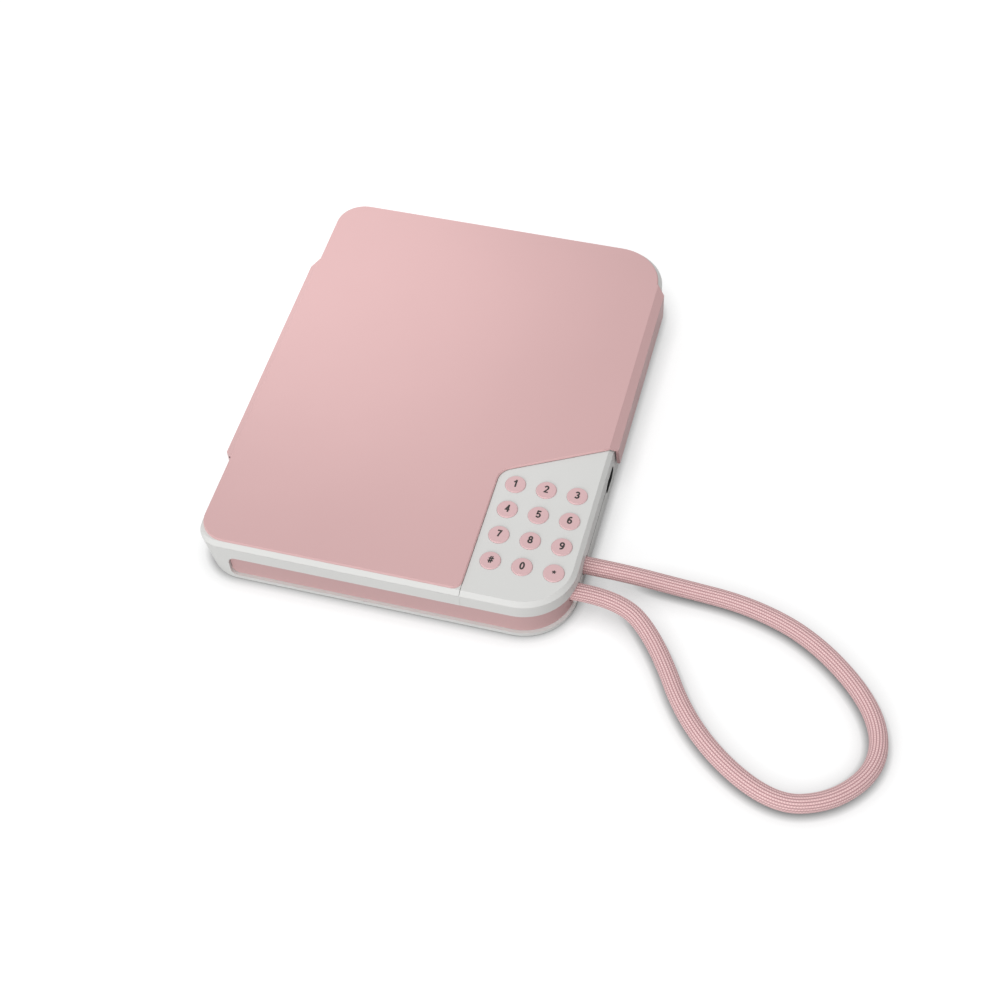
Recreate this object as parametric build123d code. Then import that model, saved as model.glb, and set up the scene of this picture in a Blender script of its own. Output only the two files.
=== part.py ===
from build123d import *
import os
from math import cos, radians, tan

# Electronic secret diary: a shallow case that holds a notebook under a hinged cover, with a
# keypad in one corner, an electric lock and a wrist strap.
# Millimetres. The origin is on the table, in the middle of the footprint over the cover's wings.
# +X points to the opening side, +Y to the back edge, +Z up. The spine and its hinge are at -X.

os.makedirs("parts", exist_ok=True)

# ---------------------------------------------------------------- overall size
cover_width = 174.0            # across both wings of the cover
body_depth = 218.0             # front wall to back wall
rim_top = 24.3                 # top of the white rim and of the keypad
cover_raise = 1.0              # cover skin standing above the rim
wing_reach_spine = 3.0         # wing standing out from the case, spine side
wing_reach_open = 2.0          # wing standing out from the case, opening side
spine_front_radius = 11.0      # plan corners beside the spine
spine_back_radius = 14.0
spine_floor_growth = 7.0       # those two corners are rounder at the floor by this much
open_radius = 24.0             # plan corners of the opening side

body_left = -cover_width / 2 + wing_reach_spine
body_right = cover_width / 2 - wing_reach_open
front = -body_depth / 2
back = body_depth / 2
above = rim_top + 20.0         # clear above everything, for cuts

# ---------------------------------------------------------------- walls and parting lines
wall = 2.0
floor_thickness = 2.1
shell_bottom = 0.2             # the shell stands on its feet by this much
floor_top = shell_bottom + floor_thickness
bottom_edge = 0.2
bevel_height = 1.95            # bevel round the rim
bevel_width = 2.0
spine_bevel_width = 0.7
rim_edge = rim_top - bevel_height
lid_gap = 0.12                 # between the shut lid and the case wall
wall_top = rim_edge - lid_gap
seam = 0.1                     # each side of the line between the lid and the keypad
skin_gap = 0.06                # between the cover's skin and the keypad, seen from above
housing_fit = 0.05             # between the keypad housing and the case
fit_gap = 0.05                 # pieces pushed or glued into a seat

# ---------------------------------------------------------------- keypad corner
keypad_width = 46.75           # from the opening side's wall
keypad_length = 68.4           # front wall to the corner where the slanted edge starts
keypad_slant = 27.0            # degrees, the slanted back edge
keypad_corner_radius = 8.0
keypad_left = body_right - keypad_width
keypad_corner_y = front + keypad_length
housing_plate = 1.8
housing_bottom = 15.4          # lower edge of the keypad housing's skirt
parting_fit = 0.1              # between the skirt and the case below it
parting_top = housing_bottom - parting_fit
side_bottom = 12.1             # the skirt reaches lower between the band's end and the port
shadow_gap = 0.8               # shadow line under the lower skirt
side_top = side_bottom - shadow_gap
tongue_inset = 1.1             # the case's tongue stands inside the shadow line
tongue_height = 1.8
tongue_root = 2.0
tongue_gap = 0.15
housing_edge_radius = 0.3      # edge of the keypad beside the lid

# ---------------------------------------------------------------- keys
key_columns = 3
key_rows = 4
key_pitch = 14.2
key_radius = 4.65
key_proud = 0.5
key_edge = 0.35
key_travel = 0.45
key_guide_gap = 0.08
key_flange_radius = key_radius + 0.5
key_flange_height = 1.1
key_flange_gap = 0.05
key_edge_margin = 9.7          # last column's centre from the opening side's wall
key_front_margin = 19.95       # last row's centre from the front wall
key_names = ["1", "2", "3", "4", "5", "6", "7", "8", "9", "hash", "0", "star"]
plate_under = rim_top - housing_plate
dome_gap = 0.3                 # left under a key that is pressed home
dome_height = 0.7
dome_radius = 3.2
membrane_sheet = 1.0
board_thickness = 1.6

# ---------------------------------------------------------------- cover and its wings
cover_margin = 2.0             # rim showing in front of and behind the cover
cover_margin_open = 2.0
cover_margin_spine = 0.7
cover_front_radius = 12.5
cover_back_radius = 13.5
cover_open_radius = 22.0
cover_keypad_radius = 4.5      # cover's corner where the keypad meets the front rim
cover_edge = 0.5
wing_drop = 2.6                # the wing's slanted shoulder
wing_wall_spine = 1.8
wing_wall_open = 1.5
wing_bottom = 8.0
wing_end = 4.0                 # the wing's ends are cut back at a slant by this much
wing_lead = 4.3                # lower front corner of the opening wing is cut back by this much
open_wing_back_margin = 22.5
spine_wing_back_margin = 43.0
spine_wing_front_margin = 47.0
cover_top = rim_top + cover_raise
shoulder_z = cover_top - wing_drop
stake_radius = 1.5

# ---------------------------------------------------------------- hinge
pin_radius = 1.1
pin_fit = 0.03                 # pin in the case's own knuckles
pin_run = 0.08                 # pin in the lid's knuckles
knuckle_radius = 2.6
knuckle_gap = 0.3
lid_knuckle_length = 22.0
hinge_x = -cover_width / 2 + knuckle_radius
hinge_z = 13.1
recess_gap = 0.4               # between a knuckle and the case's recessed wall
recess_x = hinge_x + knuckle_radius + recess_gap
recess_end_gap = 1.5
wing_clear = 0.4               # wing above the case's knuckles

# ---------------------------------------------------------------- front band
band_left = -69.0
band_low = 2.4
band_high = parting_top
band_end_radius = 3.5
band_recess = 1.6
band_thickness = 1.2
band_fit = 0.1
band_backing = 1.4             # case wall left behind the band
band_end = 22.0                # band's right end, measured back from the front wall
band_cap = 2.0                 # wall thickened this far past the band

# ---------------------------------------------------------------- notebook, its tub and the deck
deck_top = 21.2
deck_thickness = 1.4
deck_gap = 0.3
tub_wall = 1.4
tub_floor = 1.2
tub_margin_spine = 0.8
tub_margin_open = 5.3          # from the keypad's left edge
tub_margin_front = 14.6
tub_margin_back = 10.6
tub_corner = 4.0
notch_radius = 9.0             # thumb notch in the tub's front wall
notch_x = -22.0
notebook_gap = 0.8
notebook_thickness = 12.0
notebook_board = 1.2
notebook_corner = 5.0
page_margin = 1.5
deck_under = deck_top - deck_thickness
tub_left = recess_x + wall + tub_margin_spine
tub_right = keypad_left - tub_margin_open
tub_front = front + tub_margin_front
tub_back = back - tub_margin_back

# ---------------------------------------------------------------- screws and posts
post_radius = 3.8
boss_radius = 3.2
post_top = 9.0
screw_radius = 1.3
screw_hole = 1.33              # pilot that the thread forms itself in
screw_clear = 1.6
screw_head_radius = 2.6
screw_head_height = 1.8
head_bore = 2.9
head_seat = 6.5                # height of the seat inside the post
screw_bite = 7.0               # length in the upper boss
housing_post_places = [(7.5, 7.8), (17.5, 70.3)]     # from the keypad's front left corner
tray_post_left = 22.0          # from the tub's left side
tray_post_right = 14.0         # from the tub's right side
bay_post_left = 21.5           # from the keypad's left edge
bay_post_back = 7.5            # from the back wall
lock_post_gap = 5.2            # post behind the solenoid
small_screw = 0.8
small_pilot = 0.82
small_clear = 1.1
small_head = 1.8
small_head_height = 1.3
small_boss = 2.2
small_bite = 3.0               # length in the boss

# ---------------------------------------------------------------- lock
bolt_x = body_right - 9.0
bolt_z = 15.0
bolt_radius = 2.4
bolt_run = 0.06
bolt_travel = 4.0
bolt_tip_width = 3.6
bolt_tip_height = 3.0
bolt_tip_length = 4.5
bolt_tail = 15.0
coil_radius = 4.0
coil_length = 19.0
coil_sink = 0.4                # coil let into the bracket
bracket_plate = 1.5
bracket_base = 1.2
bracket_width = 13.0
keeper_thickness = 1.6
keeper_width = 8.0
keeper_flange = 1.0
keeper_flange_length = 9.0
keeper_window_gap = 0.3
keeper_web = 1.8
keeper_slot_gap = 1.2
keeper_y = keypad_corner_y + 45.8
bolt_gap = 1.0                 # retracted bolt to keeper

# ---------------------------------------------------------------- electronics
port_y = keypad_corner_y + 16.8
port_width = 14.0
port_height = 7.5
socket_width = 9.0
socket_height = 3.3
socket_length = 7.4
socket_skin = 0.35
socket_depth = 6.0
socket_inset = 2.7             # mouth of the socket from the wall's outer face
main_board_width = 21.0
main_board_length = 34.0
main_board_z = 7.2
main_board_gap = 0.4
speaker_radius = 14.0
speaker_height = 7.2
speaker_x = keypad_left + 11.95
speaker_y = keypad_corner_y + 62.6
battery_width = 36.0
battery_front_gap = 10.0       # behind the speaker
battery_back_gap = 15.0        # from the back wall
battery_height = 6.5
magnet_radius = 3.0
magnet_height = 1.4

# ---------------------------------------------------------------- small soft pieces
foot_radius = 6.0
foot_pocket = 0.6
foot_inset = 15.0
bumper_radius = 3.5
bumper_gap = 0.3

# ---------------------------------------------------------------- wrist strap
strap_radius = 4.0
strap_hole_gap = 0.6
anchor_length = 10.0
anchor_inset = 5.5             # anchor's face from the wall's outer face
anchor_gap = 0.3               # between the anchor and the wall behind the band
anchor_margin = 3.0            # anchor beyond the strands
anchor_top = 14.4
anchor_boss_height = 3.0
anchor_boss_gap = 0.15
anchor_screw_seat = 8.0
# The strap's route: distance out from the opening side's wall, distance back from the front
# wall, and height. It leaves the wall, droops to the table and comes back beside itself.
strap_route = [
    (-6.0, 36.8, 10.2),
    (14.8, 37.4, 9.6),
    (41.0, 39.3, 4.05),
    (75.3, 37.0, 4.05),
    (105.7, 25.3, 4.05),
    (134.0, -1.4, 4.05),
    (140.1, -27.2, 4.05),
    (124.0, -48.8, 4.05),
    (98.5, -56.0, 4.05),
    (61.0, -30.5, 4.05),
    (37.5, 11.0, 4.05),
    (17.5, 24.8, 8.6),
    (-6.0, 22.0, 10.2),
]


# ================================================================ helpers
def prism(face, low, high):
    """Upright prism on a plan face, between two heights."""
    return extrude(Pos(0, 0, low) * face, amount=high - low, dir=(0, 0, 1))


def plan_box(left, right, near, far):
    """Plan rectangle from its four edges."""
    return Pos((left + right) / 2, (near + far) / 2) * Rectangle(right - left, far - near)


def block(left, right, near, far, low, high):
    """Upright box from its six faces."""
    return prism(plan_box(left, right, near, far), low, high)


def rod(x, y, low, high, radius):
    """Upright cylinder."""
    return prism(Pos(x, y) * Circle(radius), low, high)


def rod_y(x, z, near, far, radius):
    """Cylinder lying along Y."""
    return Pos(x, (near + far) / 2, z) * Rot(90, 0, 0) * Cylinder(radius, far - near)


def profile_y(points, near, far):
    """Prism along Y of an outline drawn in X and Z."""
    face = make_face(Polyline([Vector(x, near, z) for x, z in points], close=True))
    return extrude(face, amount=far - near, dir=(0, 1, 0))


def corners(face, points):
    """The face's vertices nearest to the given plan points."""
    return [face.vertices().sort_by_distance((x, y, 0))[0] for x, y in points]


def plan_outline(inset, spine_inset=None, growth=0.0):
    """Plan face of the case drawn in by inset: tight corners at the spine, wide ones opposite."""
    left = body_left + (inset if spine_inset is None else spine_inset)
    right = body_right - inset
    near = front + inset
    face = plan_box(left, right, near, -near)
    face = fillet(corners(face, [(left, near)]), spine_front_radius + growth - inset)
    face = fillet(corners(face, [(left, -near)]), spine_back_radius + growth - inset)
    return fillet(corners(face, [(right, near), (right, -near)]), open_radius - inset)


def slant_y(x, grow=0.0):
    """Y of the keypad's slanted edge at a given X, with the keypad grown outwards."""
    slant = radians(keypad_slant)
    return keypad_corner_y + (x - keypad_left) * tan(slant) + grow / cos(slant)


def keypad_zone(grow):
    """Plan face of the keypad's corner, grown outwards; it runs past the case's front and side."""
    left = keypad_left - grow
    right = body_right + 40.0
    near = front - 40.0
    points = [(left, near), (left, slant_y(left, grow)), (right, slant_y(right, grow)), (right, near)]
    face = make_face(Polyline(points, close=True))
    return fillet(corners(face, [points[1]]), keypad_corner_radius + grow)


def lower_skirt_zone(shrink):
    """Plan face of the stretch of the opening side where the housing's skirt reaches lower."""
    far = port_y - port_width / 2 + 1.0
    return plan_box(body_right - 10.0, body_right + 10.0, front + band_end + shrink, far - shrink)


def key_places():
    """Name and centre of each key, row by row from the back."""
    last_x = body_right - key_edge_margin
    last_y = front + key_front_margin
    places = []
    for index, name in enumerate(key_names):
        row, column = divmod(index, key_columns)
        x = last_x - (key_columns - 1 - column) * key_pitch
        y = last_y + (key_rows - 1 - row) * key_pitch
        places.append((name, x, y))
    return places


def between_keys():
    """Two places midway between keys, on a diagonal, where the keypad's board is screwed on."""
    first_x = body_right - key_edge_margin - 1.5 * key_pitch
    first_y = front + key_front_margin + 0.5 * key_pitch
    return [(first_x, first_y + 2 * key_pitch), (first_x + key_pitch, first_y)]


def housing_posts():
    """Screw places under the keypad housing."""
    return [(keypad_left + x, front + y) for x, y in housing_post_places]


def tray_posts():
    """Screw places under the deck."""
    near_y = (front + band_recess + band_thickness + band_backing + tub_front) / 2
    far_y = (back - wall + tub_back) / 2
    xs = (tub_left + tray_post_left, tub_right - tray_post_right)
    rows = [(x, y) for x in xs for y in (near_y, far_y)]
    in_bay = (keypad_left + bay_post_left, back - bay_post_back)
    behind_lock = (bolt_x + bolt_radius, solenoid_ends()[1] + lock_post_gap)
    return rows + [in_bay, behind_lock]


def wing_span():
    """Front and back ends of the spine wing."""
    return front + spine_wing_front_margin, back - spine_wing_back_margin


def knuckles():
    """Ends in Y of each hinge knuckle: lid, case, lid, case, lid."""
    near, far = wing_span()
    near += wing_end + 0.5
    far -= wing_end + 0.5
    case_length = (far - near - 3 * lid_knuckle_length) / 2
    spans = []
    y = near
    for index in range(5):
        length = lid_knuckle_length if index % 2 == 0 else case_length
        spans.append((index % 2 == 0, y, y + length))
        y += length
    return spans


def rim_form():
    """Solid of the whole bevelled rim, before it is split into the lid and the keypad."""
    low = Pos(0, 0, rim_edge) * plan_outline(0)
    high = Pos(0, 0, rim_top) * plan_outline(bevel_width, spine_bevel_width)
    return loft([low, high], ruled=True)


# ================================================================ the case
def band_slot(shrink):
    """The front band's opening: rounded at its left end, running round the open corner."""
    left = band_left + shrink
    right = body_right + 10.0
    low = band_low + shrink
    high = band_high - shrink
    near = front - 5.0
    far = front + band_end - shrink
    slot = block(left, right, near, far, low, high)
    ends = slot.edges().filter_by(Axis.Y).group_by(Axis.X)[0]
    return fillet(ends, band_end_radius - shrink)


def band_ring(outer_inset, inner_inset):
    """Upright ring that follows the case's outline at a given depth."""
    return prism(plan_outline(outer_inset) - plan_outline(inner_inset), floor_top, rim_edge)


def spine_recess(grow):
    """Plan face of the step in the case's spine wall that the hinge and its wing lie in."""
    near, far = wing_span()
    reach = recess_end_gap + grow
    return plan_box(body_left - 10.0, recess_x + grow, near - reach, far + reach)


def screw_post(x, y):
    """Hollow post on the case's floor; the screw's head sits deep inside it."""
    return rod(x, y, shell_bottom, post_top, post_radius)


def screw_bore(x, y):
    """Head bore and shank hole through a post."""
    return rod(x, y, 0, head_seat, head_bore) + rod(x, y, 0, post_top + 1.0, screw_clear)


def strap_exits():
    """Plan centre and height where each strand passes through the wall."""
    middle = wall / 2
    exits = []
    for end, following in ((strap_route[0], strap_route[1]), (strap_route[-1], strap_route[-2])):
        share = (-middle - end[0]) / (following[0] - end[0])
        y = front + end[1] + share * (following[1] - end[1])
        z = end[2] + share * (following[2] - end[2])
        exits.append((y, z))
    return exits


def strap_holes():
    """Round holes for both strands through everything at the wall."""
    hole = Rot(0, 90, 0) * Cylinder(strap_radius + strap_hole_gap, 6 * wall)
    return [Pos(body_right - wall, y, z) * hole for y, z in strap_exits()]


def anchor_centre():
    """Plan centre of the strap's anchor."""
    y = front + (strap_route[0][1] + strap_route[-1][1]) / 2
    return body_right - anchor_inset - anchor_length / 2, y


def main_board_box():
    """Left, right, near and far edges of the main board."""
    right = body_right - wall - main_board_gap
    near = port_y - main_board_length / 2 + 2.8
    return right - main_board_width, right, near, near + main_board_length


def main_board_holes():
    """Screw places at two opposite corners of the main board."""
    left, right, near, far = main_board_box()
    return [(left + 3.0, near + 3.0), (right - 3.0, far - 3.0)]


def port_cut():
    """Round-ended opening for the charging plug."""
    z = main_board_z + board_thickness + socket_height / 2
    face = Plane(origin=(body_right + 2.0, port_y, z), z_dir=(-1, 0, 0), x_dir=(0, 1, 0))
    return extrude(face * SlotOverall(port_width, port_height), amount=2.0 + wall + 1.0)


def solenoid_ends():
    """Near and far ends of the lock's solenoid."""
    near = keeper_y + keeper_thickness / 2 + bolt_gap + bolt_tip_length + 1.5
    return near, near + coil_length + 2 * bracket_plate


def solenoid_bottom():
    """Height of the solenoid's bracket on its ribs."""
    return bolt_z - coil_radius + coil_sink - bracket_base


def grille_slots():
    """Sound slots under the speaker."""
    slots = []
    for step in range(-2, 3):
        length = 20.0 - 4.0 * abs(step)
        slot = Pos(speaker_x, speaker_y + step * 4.0) * SlotOverall(length, 1.8)
        slots.append(prism(slot, 0, floor_top + 1.0))
    return slots


def foot_places():
    """Plan centres of the four feet."""
    xs = (recess_x + foot_inset, body_right - foot_inset)
    return [(x, y) for x in xs for y in (front + foot_inset, back - foot_inset)]


def case_hinge():
    """The case's two knuckles with the webs that carry them."""
    pieces = []
    for is_lid, near, far in knuckles():
        if is_lid:
            continue
        near += knuckle_gap / 2
        far -= knuckle_gap / 2
        pieces.append(rod_y(hinge_x, hinge_z, near, far, knuckle_radius))
        pieces.append(block(hinge_x, recess_x + wall / 2, near, far, hinge_z - knuckle_radius, hinge_z))
    return pieces


def case_form():
    """Outer solid of the case: its spine corners grow rounder towards the floor."""
    foot = Pos(0, 0, shell_bottom) * plan_outline(bottom_edge, growth=spine_floor_growth)
    low = Pos(0, 0, shell_bottom + bottom_edge) * plan_outline(0, growth=spine_floor_growth)
    high = Pos(0, 0, wall_top) * plan_outline(0)
    return loft([foot, low, high], ruled=True)


def base_shell():
    """The white case: floor, walls, hinge knuckles, posts and every opening in the walls."""
    rounder = plan_outline(wall, growth=spine_floor_growth) - spine_recess(wall)
    shell = case_form() - prism(rounder, floor_top, above)
    shell -= prism(plan_outline(wall) - spine_recess(wall), parting_top, above)
    backing = band_recess + band_thickness + band_backing
    shell += band_ring(wall / 2, backing) & band_slot(-band_cap)
    shell -= prism(spine_recess(0), 0, above)
    shell -= prism(keypad_zone(housing_fit - seam), parting_top, above)
    shell -= prism(lower_skirt_zone(0), side_top, above)
    tongue = plan_outline(tongue_inset) - plan_outline(wall)
    shell += prism(tongue & lower_skirt_zone(band_cap), side_top - tongue_root, side_top + tongue_height)
    shell -= band_ring(-1.0, band_recess + band_thickness) & band_slot(0)
    for x, y in housing_posts() + tray_posts():
        shell += screw_post(x, y)
    for x, y in main_board_holes():
        shell += rod(x, y, shell_bottom, main_board_z, small_boss)
    anchor_x, anchor_y = anchor_centre()
    shell += rod(anchor_x, anchor_y, shell_bottom, floor_top + anchor_boss_height, boss_radius)
    shell += rod(speaker_x, speaker_y, shell_bottom, floor_top + 3.0, speaker_radius + 1.3)
    shell -= rod(speaker_x, speaker_y, floor_top, floor_top + 4.0, speaker_radius + 0.15)
    near, far = solenoid_ends()
    for y in (near + 3.0, far - 3.0):
        shell += block(bolt_x - bracket_width / 2, body_right - wall / 2, y - 1.0, y + 1.0,
                       shell_bottom + 1.0, solenoid_bottom())
    shell += case_hinge()
    for x, y in housing_posts() + tray_posts():
        shell -= screw_bore(x, y)
    for x, y in main_board_holes():
        shell -= rod(x, y, floor_top, main_board_z + 1.0, small_pilot)
    shell -= rod(anchor_x, anchor_y, floor_top, floor_top + 5.0, screw_hole)
    shell -= strap_holes()
    shell -= port_cut()
    shell -= grille_slots()
    for x, y in foot_places():
        shell -= rod(x, y, 0, shell_bottom + foot_pocket, foot_radius + fit_gap)
    near, far = wing_span()
    return shell - rod_y(hinge_x, hinge_z, near, far, pin_radius + pin_fit)


def front_trim_band():
    """Pink band let into the front wall, bent round the open corner as far as the strap."""
    band = band_ring(band_recess, band_recess + band_thickness) & band_slot(band_fit)
    return band - strap_holes()


def rubber_feet():
    """Four round feet glued into pockets under the floor."""
    return [rod(x, y, 0, shell_bottom + foot_pocket, foot_radius) for x, y in foot_places()]


def case_screw(x, y):
    """One self-tapping screw, driven up from under the case."""
    head = rod(x, y, head_seat - screw_head_height, head_seat, screw_head_radius)
    return head + rod(x, y, head_seat, post_top + screw_bite - 0.5, screw_radius)


# ================================================================ the keypad
def keypad_housing():
    """White corner moulding that carries the keys: plate, skirt, key holes, bosses and rebate."""
    outer = prism(plan_outline(0), housing_bottom, rim_edge) + rim_form()
    outer += prism(plan_outline(0) & lower_skirt_zone(housing_fit), side_bottom, housing_bottom)
    housing = outer & prism(keypad_zone(-seam), 0, above)
    top_edges = housing.edges().group_by(Axis.Z)[-1]
    middle_y = (front + keypad_corner_y) / 2
    middle_x = (keypad_left + body_right) / 2
    beside_lid = [(keypad_left, middle_y), (keypad_left, keypad_corner_y), (middle_x, slant_y(middle_x))]
    beside_lid = [top_edges.sort_by_distance((x, y, rim_top))[0] for x, y in beside_lid]
    housing = fillet(beside_lid, housing_edge_radius)
    inner = plan_outline(wall) & keypad_zone(-seam - wall)
    housing -= prism(inner, 0, plate_under)
    rebate = plan_outline(tongue_inset - tongue_gap) - plan_outline(2 * wall)
    housing -= prism(rebate & lower_skirt_zone(band_cap / 2), 0, side_top + tongue_height + tongue_gap)
    housing -= strap_holes()
    housing -= port_cut()
    for x, y in housing_posts():
        housing += rod(x, y, post_top, plate_under, boss_radius)
        housing -= rod(x, y, post_top - 1.0, post_top + screw_bite, screw_hole)
    board_top = membrane_top() - membrane_sheet
    for x, y in between_keys():
        housing += rod(x, y, board_top, plate_under, small_boss)
        housing -= rod(x, y, board_top - 1.0, plate_under - 0.5, small_pilot)
    for _, x, y in key_places():
        housing -= rod(x, y, 0, above, key_radius + key_guide_gap)
        housing -= rod(x, y, key_foot() - key_travel, plate_under, key_flange_radius + key_guide_gap)
    return housing


def key_foot():
    """Height of a key's lower end at rest."""
    return plate_under - key_flange_gap - key_flange_height


def membrane_top():
    """Height of the membrane's sheet, under its domes."""
    return key_foot() - key_travel - dome_gap - dome_height


def key(x, y):
    """One round key: bevelled cap over the retaining flange that presses the dome."""
    cap = rod(x, y, key_foot(), rim_top + key_proud, key_radius)
    cap = chamfer(cap.edges().group_by(Axis.Z)[-1], key_edge)
    return cap + rod(x, y, key_foot(), plate_under - key_flange_gap, key_flange_radius)


def keypad_sheet(margin):
    """Plan face of the board and the membrane inside the housing."""
    sheet = plan_outline(wall + margin) & keypad_zone(-seam - wall - margin)
    for x, y in housing_posts():
        sheet -= Pos(x, y) * Circle(boss_radius + 0.6)
    return sheet


def keypad_membrane():
    """Silicone sheet with one dome under each key."""
    top = membrane_top()
    sheet = prism(keypad_sheet(1.0), top - membrane_sheet, top)
    for x, y in between_keys():
        sheet -= rod(x, y, 0, above, small_boss + 0.3)
    for _, x, y in key_places():
        sheet += Pos(x, y, top + dome_height / 2) * Cone(dome_radius, dome_radius * 0.6, dome_height)
    return sheet


def keypad_board():
    """Circuit board under the membrane."""
    top = membrane_top() - membrane_sheet
    board = prism(keypad_sheet(0.6), top - board_thickness, top)
    for x, y in between_keys():
        board -= rod(x, y, 0, above, small_clear)
    return board


def small_screw_up(x, y, face, length):
    """Small screw driven upwards, its head under a face."""
    return rod(x, y, face - small_head_height, face, small_head) + rod(x, y, face, face + length, small_screw)


def small_screw_down(x, y, face, length):
    """Small screw driven downwards, its head on a face."""
    return rod(x, y, face, face + small_head_height, small_head) + rod(x, y, face - length, face, small_screw)


def board_screws():
    """Four small screws: two in the keypad's board and two in the main board."""
    under = membrane_top() - membrane_sheet - board_thickness
    length = board_thickness + small_bite
    upper = [small_screw_up(x, y, under, length) for x, y in between_keys()]
    top = main_board_z + board_thickness
    return upper + [small_screw_down(x, y, top, length) for x, y in main_board_holes()]


# ================================================================ inside the case
def tub_plan(inset):
    """Plan face of the notebook's tub with its thumb notch, drawn in by inset."""
    near = tub_front + inset
    face = plan_box(tub_left + inset, tub_right - inset, near, tub_back - inset)
    face = fillet(face.vertices(), tub_corner - inset)
    return face + Pos(notch_x, tub_front + tub_wall) * Circle(notch_radius + tub_wall - inset)


def inner_tray():
    """White deck over the case, with the sunken tub that holds the notebook."""
    deck_plan = plan_outline(wall + deck_gap) - keypad_zone(deck_gap)
    deck_plan -= spine_recess(wall + deck_gap)
    tray = prism(deck_plan, deck_under, deck_top)
    tray += prism(tub_plan(0), floor_top, deck_under)
    tray -= prism(tub_plan(tub_wall), floor_top + tub_floor, above)
    for x, y in tray_posts():
        tray += rod(x, y, post_top, deck_under, boss_radius)
        tray -= rod(x, y, post_top - 1.0, post_top + screw_bite, screw_hole)
    half = keeper_width / 2 + keeper_slot_gap
    depth = keeper_thickness / 2 + keeper_slot_gap
    return tray - block(bolt_x - half, bolt_x + half, keeper_y - depth, keeper_y + depth, 0, above)


def notebook_box():
    """Left, right, near and far edges of the notebook in its tub."""
    inset = tub_wall + notebook_gap
    return tub_left + inset, tub_right - inset, tub_front + inset, tub_back - inset


def notebook_cover():
    """Card cover: back board, spine and front board."""
    left, right, near, far = notebook_box()
    low = floor_top + tub_floor
    cover = block(left, right, near, far, low, low + notebook_thickness)
    fore_edges = cover.edges().filter_by(Axis.Z).group_by(Axis.X)[-1]
    cover = fillet(fore_edges, notebook_corner)
    inside = block(left + notebook_board, right + 1.0, near - 1.0, far + 1.0,
                   low + notebook_board, low + notebook_thickness - notebook_board)
    return cover - inside


def notebook_pages():
    """Block of pages glued into the spine."""
    left, right, near, far = notebook_box()
    low = floor_top + tub_floor + notebook_board
    high = floor_top + tub_floor + notebook_thickness - notebook_board
    pages = block(left + notebook_board, right - page_margin, near + page_margin, far - page_margin,
                  low, high)
    fore_edges = pages.edges().filter_by(Axis.Z).group_by(Axis.X)[-1]
    return fillet(fore_edges, notebook_corner - page_margin)


def main_board():
    """Main circuit board with its controller, charger and connector."""
    left, right, near, far = main_board_box()
    top = main_board_z + board_thickness
    board = block(left, right, near, far, main_board_z, top)
    board += block(left + 3.0, left + 10.0, port_y - 3.5, port_y + 3.5, top, top + 1.2)
    board += block(left + 6.5, left + 14.5, far - 6.0, far - 1.5, top, top + 3.0)
    for x, y in main_board_holes():
        board -= rod(x, y, 0, above, small_clear)
    return board


def usb_socket():
    """Pressed metal charging socket with its tongue."""
    z = main_board_z + board_thickness + socket_height / 2
    mouth = body_right - socket_inset
    face = Plane(origin=(mouth, port_y, z), z_dir=(-1, 0, 0), x_dir=(0, 1, 0))
    outside = RectangleRounded(socket_width, socket_height, socket_height / 2 - 0.05)
    shell = extrude(face * outside, amount=socket_length)
    inner_height = socket_height - 2 * socket_skin
    inside = RectangleRounded(socket_width - 2 * socket_skin, inner_height, inner_height / 2 - 0.05)
    shell -= extrude(face * inside, amount=socket_depth)
    tongue = extrude(face * Rectangle(socket_width - 2.4, 0.7), amount=socket_depth + 0.5)
    return shell + (tongue & block(0, mouth - 0.8, port_y - 10, port_y + 10, 0, above))


def speaker():
    """Round loudspeaker that faces down: rim, basket and magnet, with its cone sunk in below."""
    radius = speaker_radius
    height = speaker_height
    outline = Polyline(
        (0, 1.6), (5.0, 1.6), (radius - 1.5, 0), (radius, 0), (radius, 1.2),
        (radius - 5.0, 4.0), (7.5, 4.0), (7.5, height), (0, height), close=True,
    )
    face = make_face(Plane.XZ * outline)
    return Pos(speaker_x, speaker_y, floor_top) * revolve(face, Axis.Z)


def battery_cell():
    """Flat rechargeable cell with rounded sides, between the speaker and the back wall."""
    left = keypad_left + 2.5
    near = speaker_y + speaker_radius + battery_front_gap
    far = back - battery_back_gap
    cell = block(left, left + battery_width, near, far, floor_top, floor_top + battery_height)
    return fillet(cell.edges().filter_by(Axis.Y), 2.2)


def strap_anchor():
    """Block screwed to the floor that holds both ends of the strap."""
    x, y = anchor_centre()
    half = abs(strap_route[0][1] - strap_route[-1][1]) / 2 + strap_radius + anchor_margin
    anchor = block(x - anchor_length / 2, x + anchor_length / 2, y - half, y + half, floor_top, anchor_top)
    anchor = fillet(anchor.edges().filter_by(Axis.Z), 1.5)
    backing = band_recess + band_thickness + band_backing
    anchor &= prism(plan_outline(backing + anchor_gap), 0, above)
    anchor -= rod(x, y, 0, floor_top + anchor_boss_height, boss_radius + anchor_boss_gap)
    anchor -= rod(x, y, 0, above, screw_clear)
    return anchor - rod(x, y, anchor_screw_seat, above, head_bore)


def anchor_screw():
    """Screw that holds the anchor down."""
    x, y = anchor_centre()
    head = rod(x, y, anchor_screw_seat, anchor_screw_seat + screw_head_height, screw_head_radius)
    return head + rod(x, y, floor_top + 0.3, anchor_screw_seat, screw_radius)


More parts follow.
